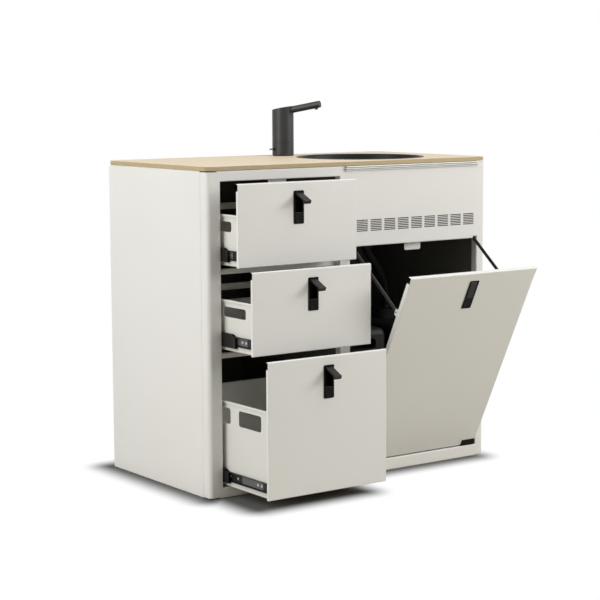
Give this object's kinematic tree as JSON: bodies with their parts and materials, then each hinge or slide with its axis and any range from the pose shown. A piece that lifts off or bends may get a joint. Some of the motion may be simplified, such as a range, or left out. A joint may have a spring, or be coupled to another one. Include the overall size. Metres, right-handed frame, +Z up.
{
  "type": "campervan kitchen pod",
  "caption": "Free-standing campervan kitchen cabinet: folded white sheet body with drawers on runners, a tilt-down flap over the canister bay, a round sink, a tap and a wood worktop.",
  "frame": {"origin": "centre of the cabinet's footprint, on the floor (underside of the floor panel)", "axes": "+Z up, the front with drawers and flap faces -Y, +X to the right as seen from the front, the back panel faces +Y"},
  "size_m": [0.985, 0.7872, 1.066],
  "materials": {
    "white_powder_coat": "satin powder coat",
    "black_panel_sheet": "matt black",
    "pale_wood_board": "fine satin",
    "anodised_rail": "satin anodised",
    "bright_steel": "satin",
    "black_plastic": "satin",
    "dark_zinc_steel": "black zinc",
    "black_coated_metal": "matt black",
    "tank_plastic": "matt",
    "hose_rubber": "matt"
  },
  "bodies": {
    "cabinet": {"back_panel": "white_powder_coat", "bay_liner_right": "black_panel_sheet", "face_frame": "white_powder_coat", "faucet_base": "black_coated_metal", "flap_hinge_left": "black_plastic", "flap_hinge_right": "black_plastic", "floor_panel": "black_panel_sheet", "fresh_tank": "tank_plastic", "partition": "black_panel_sheet", "rear_liner": "black_panel_sheet", "runner_panel_left": "black_panel_sheet", "side_panel_left": "white_powder_coat", "side_panel_right": "white_powder_coat", "sink_bowl": "black_coated_metal", "sink_waste": "bright_steel", "supply_hose": "hose_rubber", "table_rail": "anodised_rail", "vent_panel": "white_powder_coat", "waste_hose": "hose_rubber", "waste_tank": "tank_plastic", "worktop": "pale_wood_board"},
    "drawer_1": {"drawer_front_1": "white_powder_coat", "drawer_box_1": "white_powder_coat", "latch_housing_1": "black_plastic", "runner_inner_1_left": "dark_zinc_steel", "runner_inner_1_right": "dark_zinc_steel"},
    "runner_1": {"runner_middle_1_left": "dark_zinc_steel", "runner_middle_1_right": "dark_zinc_steel"},
    "drawer_2": {"drawer_front_2": "white_powder_coat", "drawer_box_2": "white_powder_coat", "latch_housing_2": "black_plastic", "runner_inner_2_left": "dark_zinc_steel", "runner_inner_2_right": "dark_zinc_steel"},
    "runner_2": {"runner_middle_2_left": "dark_zinc_steel", "runner_middle_2_right": "dark_zinc_steel"},
    "drawer_3": {"drawer_front_3": "white_powder_coat", "drawer_box_3": "white_powder_coat", "latch_housing_3": "black_plastic", "runner_inner_3_left": "dark_zinc_steel", "runner_inner_3_right": "dark_zinc_steel"},
    "runner_3": {"runner_middle_3_left": "dark_zinc_steel", "runner_middle_3_right": "dark_zinc_steel"},
    "flap": {"flap_panel": "white_powder_coat", "latch_housing_flap": "black_plastic"},
    "lever_1": {"latch_lever_1": "black_plastic"},
    "button_1": {"latch_button_1": "black_plastic"},
    "bolt_1": {"latch_bolt_1": "bright_steel"},
    "lever_2": {"latch_lever_2": "black_plastic"},
    "button_2": {"latch_button_2": "black_plastic"},
    "bolt_2": {"latch_bolt_2": "bright_steel"},
    "lever_3": {"latch_lever_3": "black_plastic"},
    "button_3": {"latch_button_3": "black_plastic"},
    "bolt_3": {"latch_bolt_3": "bright_steel"},
    "lever_flap": {"latch_lever_flap": "black_plastic"},
    "button_flap": {"latch_button_flap": "black_plastic"},
    "bolt_flap": {"latch_bolt_flap": "bright_steel"},
    "stay_left": {"stay_left": "dark_zinc_steel"},
    "stay_right": {"stay_right": "dark_zinc_steel"},
    "faucet_column": {"faucet_column": "black_coated_metal"},
    "faucet_lever": {"faucet_lever": "black_coated_metal"}
  },
  "joints": [
    {"name": "drawer_1_slide", "type": "slide", "parent": "cabinet", "child": "drawer_1", "axis": [0, -1, 0], "range_m": [-0.0794, 0.3206]},
    {"name": "runner_1_slide", "type": "slide", "parent": "cabinet", "child": "runner_1", "axis": [0, -1, 0], "range_m": [-0.0397, 0.1603]},
    {"name": "drawer_2_slide", "type": "slide", "parent": "cabinet", "child": "drawer_2", "axis": [0, -1, 0], "range_m": [-0.1446, 0.2554]},
    {"name": "runner_2_slide", "type": "slide", "parent": "cabinet", "child": "runner_2", "axis": [0, -1, 0], "range_m": [-0.0723, 0.1277]},
    {"name": "drawer_3_slide", "type": "slide", "parent": "cabinet", "child": "drawer_3", "axis": [0, -1, 0], "range_m": [-0.2128, 0.1872]},
    {"name": "runner_3_slide", "type": "slide", "parent": "cabinet", "child": "runner_3", "axis": [0, -1, 0], "range_m": [-0.1064, 0.0936]},
    {"name": "flap_hinge", "type": "hinge", "parent": "cabinet", "child": "flap", "pos_m": [0.209, -0.253, 0.0463], "axis": [1, 0, 0], "range_deg": [-25.83, 0]},
    {"name": "stay_left_pivot", "type": "hinge", "parent": "flap", "child": "stay_left", "pos_m": [-0.0036, -0.45854, 0.49386], "axis": [1, 0, 0], "range_deg": [0, 11.25]},
    {"name": "stay_right_pivot", "type": "hinge", "parent": "flap", "child": "stay_right", "pos_m": [0.4513, -0.45854, 0.49386], "axis": [1, 0, 0], "range_deg": [0, 11.25]},
    {"name": "lever_1_pivot", "type": "hinge", "parent": "drawer_1", "child": "lever_1", "pos_m": [-0.24875, -0.3374, 0.824], "axis": [-1, 0, 0], "range_deg": [-65, 0]},
    {"name": "bolt_1_slide", "type": "slide", "parent": "drawer_1", "child": "bolt_1", "axis": [0, 0, 1], "range_m": [0, 0.008]},
    {"name": "button_1_press", "type": "slide", "parent": "drawer_1", "child": "button_1", "axis": [0, 1, 0], "range_m": [0, 0.0018], "stiffness_N_per_m": 400},
    {"name": "lever_2_pivot", "type": "hinge", "parent": "drawer_2", "child": "lever_2", "pos_m": [-0.24875, -0.4026, 0.5954], "axis": [-1, 0, 0], "range_deg": [-65, 0]},
    {"name": "bolt_2_slide", "type": "slide", "parent": "drawer_2", "child": "bolt_2", "axis": [0, 0, 1], "range_m": [0, 0.008]},
    {"name": "button_2_press", "type": "slide", "parent": "drawer_2", "child": "button_2", "axis": [0, 1, 0], "range_m": [0, 0.0018], "stiffness_N_per_m": 400},
    {"name": "lever_3_pivot", "type": "hinge", "parent": "drawer_3", "child": "lever_3", "pos_m": [-0.24875, -0.4708, 0.3668], "axis": [-1, 0, 0], "range_deg": [-65, 0]},
    {"name": "bolt_3_slide", "type": "slide", "parent": "drawer_3", "child": "bolt_3", "axis": [0, 0, 1], "range_m": [0, 0.008]},
    {"name": "button_3_press", "type": "slide", "parent": "drawer_3", "child": "button_3", "axis": [0, 1, 0], "range_m": [0, 0.0018], "stiffness_N_per_m": 400},
    {"name": "lever_flap_pivot", "type": "hinge", "parent": "flap", "child": "lever_flap", "pos_m": [0.22885, -0.50899, 0.56365], "axis": [-1, 0, 0], "range_deg": [0, 65]},
    {"name": "bolt_flap_slide", "type": "slide", "parent": "flap", "child": "bolt_flap", "axis": [0, -0.4357, 0.9001], "range_m": [-0.008, 0]},
    {"name": "button_flap_press", "type": "slide", "parent": "flap", "child": "button_flap", "axis": [0, 0.9001, 0.4357], "range_m": [0, 0.0018], "stiffness_N_per_m": 400},
    {"name": "faucet_swivel", "type": "hinge", "parent": "cabinet", "child": "faucet_column", "pos_m": [0.06578, 0.17764, 0.9403], "axis": [0, 0, 1], "range_deg": [-60, 90]},
    {"name": "faucet_lever_pivot", "type": "hinge", "parent": "cabinet", "child": "faucet_lever", "pos_m": [0.05088, 0.17764, 0.9208], "axis": [0, 1, 0], "range_deg": [-9, 9]}
  ],
  "couplings": [
    {"joint": "runner_1_slide", "follows": "drawer_1_slide", "ratio": 0.5},
    {"joint": "runner_2_slide", "follows": "drawer_2_slide", "ratio": 0.5},
    {"joint": "runner_3_slide", "follows": "drawer_3_slide", "ratio": 0.5},
    {"joint": "stay_left_pivot", "follows": "flap_hinge", "ratio": -0.4354},
    {"joint": "stay_right_pivot", "follows": "flap_hinge", "ratio": -0.4354},
    {"joint": "bolt_1_slide", "follows": "lever_1_pivot", "m_per_rad": -0.0070518},
    {"joint": "bolt_2_slide", "follows": "lever_2_pivot", "m_per_rad": -0.0070518},
    {"joint": "bolt_3_slide", "follows": "lever_3_pivot", "m_per_rad": -0.0070518},
    {"joint": "bolt_flap_slide", "follows": "lever_flap_pivot", "m_per_rad": -0.0070518}
  ]
}
